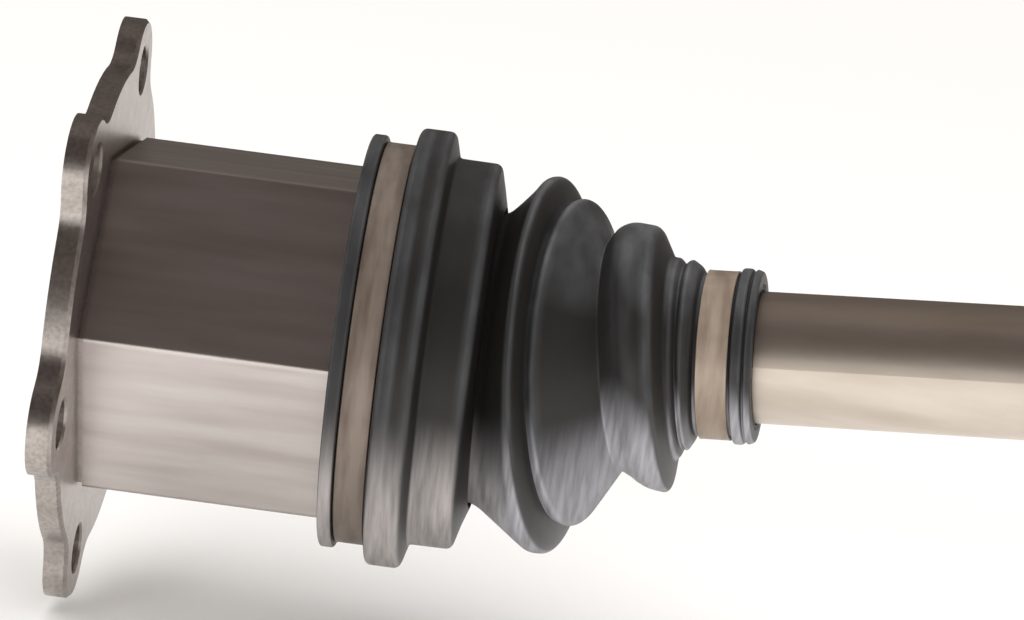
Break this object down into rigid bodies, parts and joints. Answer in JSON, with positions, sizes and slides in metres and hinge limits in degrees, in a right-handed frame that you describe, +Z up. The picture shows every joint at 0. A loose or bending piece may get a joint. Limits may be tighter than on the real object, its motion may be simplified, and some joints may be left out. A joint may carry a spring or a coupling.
{
  "type": "drive shaft",
  "caption": "Flanged plunging inner joint of a drive shaft, with a hexagonal housing, a convoluted rubber boot between clamps and a round bar with a splined end.",
  "frame": {"origin": "centre of the bolt circle on the flange's mounting face", "axes": "+X along the housing's axis, from the flange to the bar; +Z up; two flats of the barrel face up and down"},
  "size_m": [0.3262, 0.1218, 0.1246],
  "materials": {
    "forged_steel": "worn grey coating over machined forging",
    "pressed_steel": "zinc plated, satin",
    "bearing_steel": "ground",
    "spring_steel": "blued",
    "band_steel": "rolled stainless strip",
    "bar_steel": "turned, lightly oiled",
    "boot_rubber": "moulded, matt, dusty",
    "seal_rubber": "moulded"
  },
  "bodies": {
    "housing": {"joint_housing": "forged_steel", "end_cap": "pressed_steel", "cap_seal": "seal_rubber", "mouth_ring": "spring_steel", "thrust_spring": "spring_steel", "boot": "boot_rubber", "large_clamp": "band_steel"},
    "cup": {"spring_cup": "pressed_steel"},
    "first_roller": {"roller_1": "bearing_steel"},
    "bar": {"axle_bar": "bar_steel", "spider": "bearing_steel", "spider_clip": "spring_steel", "small_clamp": "band_steel", "end_clip": "spring_steel", "needles_1": "bearing_steel", "roller_washer_1": "pressed_steel", "roller_clip_1": "spring_steel", "needles_2": "bearing_steel", "roller_washer_2": "pressed_steel", "roller_clip_2": "spring_steel", "needles_3": "bearing_steel", "roller_washer_3": "pressed_steel", "roller_clip_3": "spring_steel"},
    "second_roller": {"roller_2": "bearing_steel"},
    "third_roller": {"roller_3": "bearing_steel"}
  },
  "joints": [
    {"name": "plunge", "type": "slide", "parent": "housing", "child": "cup", "axis": [1, 0, 0], "range_m": [-0.008, 0.008], "deforming": ["thrust_spring", "boot"]},
    {"name": "side_bend", "type": "hinge", "parent": "cup", "child": "first_roller", "pos_m": [0.038, 0, 0], "axis": [0, 0, 1], "range_deg": [-10.5, 25.5], "deforming": ["boot"]},
    {"name": "rise_bend", "type": "hinge", "parent": "first_roller", "child": "bar", "pos_m": [0.038, 0, 0], "axis": [-0.1305, -0.9914, 0], "range_deg": [-18.5, 7.5], "deforming": ["boot"]},
    {"name": "second_roller_spin", "type": "hinge", "parent": "bar", "child": "second_roller", "pos_m": [0.04102, 0.00994, -0.01767], "axis": [0.1476, 0.4849, -0.862], "continuous": true},
    {"name": "third_roller_spin", "type": "hinge", "parent": "bar", "child": "third_roller", "pos_m": [0.03765, 0.01038, 0.01767], "axis": [-0.017, 0.5066, 0.862], "continuous": true}
  ]
}
